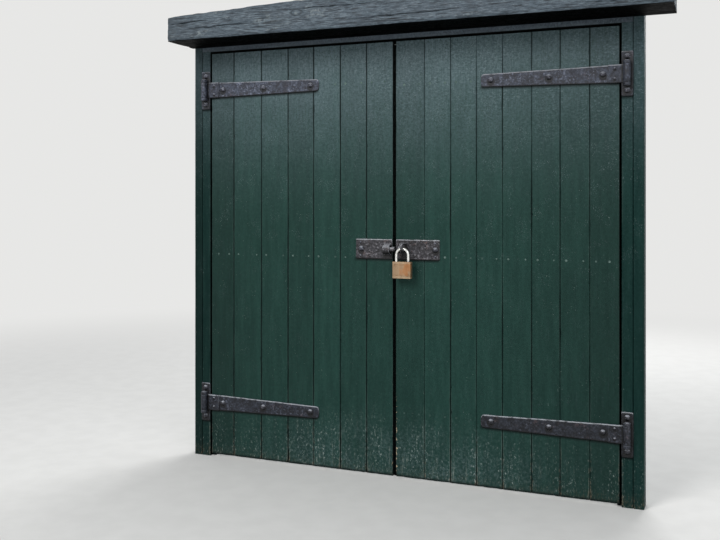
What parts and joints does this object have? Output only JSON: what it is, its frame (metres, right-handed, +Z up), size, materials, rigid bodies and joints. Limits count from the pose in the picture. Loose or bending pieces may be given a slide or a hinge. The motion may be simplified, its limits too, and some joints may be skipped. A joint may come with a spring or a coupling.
{
  "type": "double barn door",
  "caption": "Outward-opening pair of ledged and braced boarded barn doors in a timber frame under a hewn lintel, with long strap hinges, a slide bolt and a padlock.",
  "frame": {"origin": "middle of the frame's front face at floor level", "axes": "+X along the doors to the viewer's right, +Y into the building, +Z up; the doors open towards -Y"},
  "size_m": [2.286, 0.311, 2.19],
  "materials": {
    "frame_paint": "weathered dark green paint",
    "lintel_paint": "weathered slate blue-grey paint on rough timber",
    "board_paint": "weathered dark green paint",
    "back_timber": "dull dark green paint",
    "black_iron": "black hammered",
    "bolt_iron": "worn black",
    "rear_steel": "dull zinc",
    "nail_iron": "filled and painted over",
    "padlock_brass": "satin, handled",
    "shackle_steel": "polished"
  },
  "bodies": {
    "frame": {"left_outer_post": "frame_paint", "right_outer_post": "frame_paint", "left_hanging_post": "frame_paint", "right_hanging_post": "frame_paint", "head_rail": "frame_paint", "lintel_beam": "lintel_paint", "lintel_screws": "rear_steel", "left_lower_hinge_plate": "black_iron", "left_upper_hinge_plate": "black_iron", "right_lower_hinge_plate": "black_iron", "right_upper_hinge_plate": "black_iron", "hinge_pins": "bolt_iron", "hinge_plate_screws": "bolt_iron"},
    "left_leaf": {"left_board_1": "board_paint", "left_board_2": "board_paint", "left_board_3": "board_paint", "left_board_4": "board_paint", "left_board_5": "board_paint", "left_board_6": "board_paint", "left_board_7": "board_paint", "left_ledge_bottom": "back_timber", "left_ledge_middle": "back_timber", "left_ledge_top": "back_timber", "left_brace_lower": "back_timber", "left_brace_upper": "back_timber", "left_lower_hinge_strap": "black_iron", "left_upper_hinge_strap": "black_iron", "left_coach_bolts": "bolt_iron", "left_bolt_nuts": "rear_steel", "left_strap_rivets": "bolt_iron", "left_nails": "nail_iron", "left_lock_plate": "black_iron"},
    "right_leaf": {"right_board_1": "board_paint", "right_board_2": "board_paint", "right_board_3": "board_paint", "right_board_4": "board_paint", "right_board_5": "board_paint", "right_board_6": "board_paint", "right_board_7": "board_paint", "right_board_8": "board_paint", "right_ledge_bottom": "back_timber", "right_ledge_middle": "back_timber", "right_ledge_top": "back_timber", "right_brace_lower": "back_timber", "right_brace_upper": "back_timber", "right_lower_hinge_strap": "black_iron", "right_upper_hinge_strap": "black_iron", "meeting_strip": "back_timber", "right_coach_bolts": "bolt_iron", "right_bolt_nuts": "rear_steel", "right_strap_rivets": "bolt_iron", "right_nails": "nail_iron", "right_lock_plate": "black_iron", "bolt_keep": "black_iron", "padlock_staple": "black_iron"},
    "slide_bolt": {"slide_bolt": "black_iron"},
    "padlock": {"padlock_body": "padlock_brass", "locking_pins": "shackle_steel"},
    "shackle": {"padlock_shackle": "shackle_steel"},
    "key_cylinder": {"key_cylinder": "padlock_brass"}
  },
  "joints": [
    {"name": "left_leaf_hinge", "type": "hinge", "parent": "frame", "child": "left_leaf", "pos_m": [-1.0095, -0.0207, 1], "axis": [0, 0, -1], "range_deg": [0, 95]},
    {"name": "right_leaf_hinge", "type": "hinge", "parent": "frame", "child": "right_leaf", "pos_m": [1.0095, -0.0207, 1], "axis": [0, 0, 1], "range_deg": [0, 95]},
    {"name": "bolt_slide", "type": "slide", "parent": "left_leaf", "child": "slide_bolt", "axis": [1, 0, 0], "range_m": [-0.03, 0.036]},
    {"name": "padlock_swing", "type": "hinge", "parent": "right_leaf", "child": "padlock", "pos_m": [0.04, -0.0435, 1.0513], "axis": [-1, 0, 0], "range_deg": [-8, 75]},
    {"name": "shackle_lift", "type": "slide", "parent": "padlock", "child": "shackle", "axis": [0, 0, 1], "range_m": [0, 0.009]},
    {"name": "key_turn", "type": "hinge", "parent": "padlock", "child": "key_cylinder", "pos_m": [0.04, -0.0435, 0.94], "axis": [0, 0, 1], "range_deg": [0, 90]}
  ]
}
